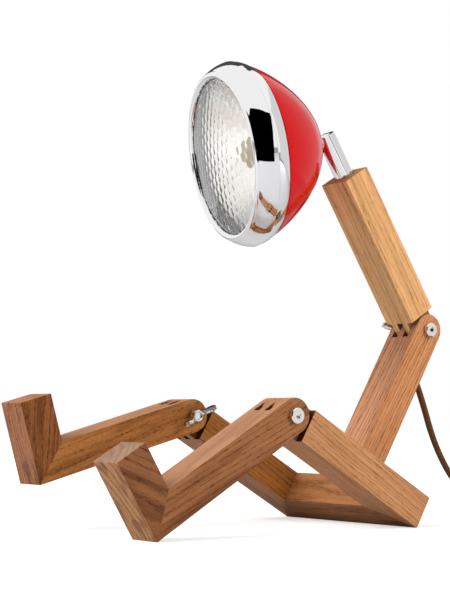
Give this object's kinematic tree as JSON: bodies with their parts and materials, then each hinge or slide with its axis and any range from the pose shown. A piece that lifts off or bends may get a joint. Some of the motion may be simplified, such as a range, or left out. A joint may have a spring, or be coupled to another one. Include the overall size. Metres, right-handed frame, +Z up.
{
  "type": "desk lamp",
  "caption": "Desk lamp like a seated figure: hinged square timber legs and back clamped by wing nuts, chrome neck and a red headlamp head on a cord.",
  "frame": {"origin": "on the ground under the middle of the lamp's box, its cord left out", "axes": "+Z up; the lamp looks along -Y; +X is its own left side, along the hinge pins"},
  "size_m": [0.1666, 0.4832, 0.3463],
  "materials": {
    "ash": "open-pored ash, oiled",
    "ash_plug": "end-grain plug",
    "chrome": "bright plated",
    "steel": "zinc-plated steel",
    "seat_brass": "turned brass",
    "sleeve": "drawn tube",
    "red_paint": "gloss red enamel",
    "lens_glass": "pressed clear glass with round lenses",
    "gasket_rubber": "black rubber",
    "reflector_metal": "mirror-bright aluminium",
    "holder_plastic": "heat-proof moulding",
    "bulb_glass": "frosted capsule",
    "cord_textile": "brown braided textile",
    "cord_plastic": "brown moulding",
    "rocker_plastic": "dark brown moulding"
  },
  "bodies": {
    "seat": {"crossbar": "ash", "thigh_left": "ash", "thigh_right": "ash", "mitre_dowel_left_low": "ash", "mitre_dowel_left_high": "ash", "mitre_dowel_right_low": "ash", "mitre_dowel_right_high": "ash", "hip_screw": "steel", "hip_plug": "ash_plug", "torso_lower": "ash", "cable_gland": "seat_brass", "waist_bolt": "chrome", "cord": "cord_textile", "cord_coil": "cord_textile", "cord_tail": "cord_textile", "cord_end": "cord_textile", "switch_body": "cord_plastic", "plug_body": "cord_plastic", "plug_pin_left": "steel", "plug_pin_right": "steel"},
    "left_leg": {"shin_left": "ash", "foot_left": "ash", "foot_screw_left": "steel", "foot_plug_left": "ash_plug", "knee_bolt_left": "chrome"},
    "right_leg": {"shin_right": "ash", "foot_right": "ash", "foot_screw_right": "steel", "foot_plug_right": "ash_plug", "knee_bolt_right": "chrome"},
    "left_knee_nut": {"knee_wing_nut_left": "chrome"},
    "right_knee_nut": {"knee_wing_nut_right": "chrome"},
    "waist_nut": {"waist_wing_nut": "chrome"},
    "chest": {"torso_upper": "ash", "neck_sleeve": "sleeve"},
    "neck": {"neck_tube": "chrome", "ball_seat": "seat_brass", "neck_screw": "chrome"},
    "head": {"head_stud": "chrome", "stud_washer": "steel", "stud_nut": "steel", "bowl": "red_paint", "bezel": "chrome", "lens": "lens_glass", "lens_gasket": "gasket_rubber", "reflector": "reflector_metal", "lens_clip_1": "steel", "lens_clip_2": "steel", "lens_clip_3": "steel", "lens_clip_4": "steel", "lamp_holder": "holder_plastic", "bulb": "bulb_glass"},
    "rocker": {"switch_rocker": "rocker_plastic"}
  },
  "joints": [
    {"name": "knee_left", "type": "hinge", "parent": "seat", "child": "left_leg", "pos_m": [0.00283, -0.02581, 0.0811], "axis": [1, 0, 0], "range_deg": [-151, 28]},
    {"name": "knee_right", "type": "hinge", "parent": "seat", "child": "right_leg", "pos_m": [0.00283, -0.02581, 0.0811], "axis": [1, 0, 0], "range_deg": [-90, 43]},
    {"name": "waist", "type": "hinge", "parent": "seat", "child": "chest", "pos_m": [0.00283, 0.15746, 0.14871], "axis": [1, 0, 0], "range_deg": [-125, 27]},
    {"name": "neck_swivel", "type": "hinge", "parent": "chest", "child": "neck", "pos_m": [0.00283, 0.0834, 0.26669], "axis": [0, -0.5317, 0.8469], "range_deg": [-150, 150]},
    {"name": "head_tilt", "type": "hinge", "parent": "neck", "child": "head", "pos_m": [0.00283, 0.06766, 0.29175], "axis": [0.9683, -0.2115, -0.1328], "range_deg": [-8, 18]},
    {"name": "left_knee_nut_spin", "type": "hinge", "parent": "left_leg", "child": "left_knee_nut", "pos_m": [0.00283, -0.02581, 0.0811], "axis": [1, 0, 0], "continuous": true},
    {"name": "right_knee_nut_spin", "type": "hinge", "parent": "right_leg", "child": "right_knee_nut", "pos_m": [0.00283, -0.02581, 0.0811], "axis": [1, 0, 0], "continuous": true},
    {"name": "waist_nut_spin", "type": "hinge", "parent": "seat", "child": "waist_nut", "pos_m": [0.00283, 0.15746, 0.14871], "axis": [1, 0, 0], "continuous": true},
    {"name": "rocker_tilt", "type": "hinge", "parent": "seat", "child": "rocker", "pos_m": [0.01083, 0.29362, 0.01185], "axis": [0, 1, 0], "range_deg": [0, 14]}
  ]
}
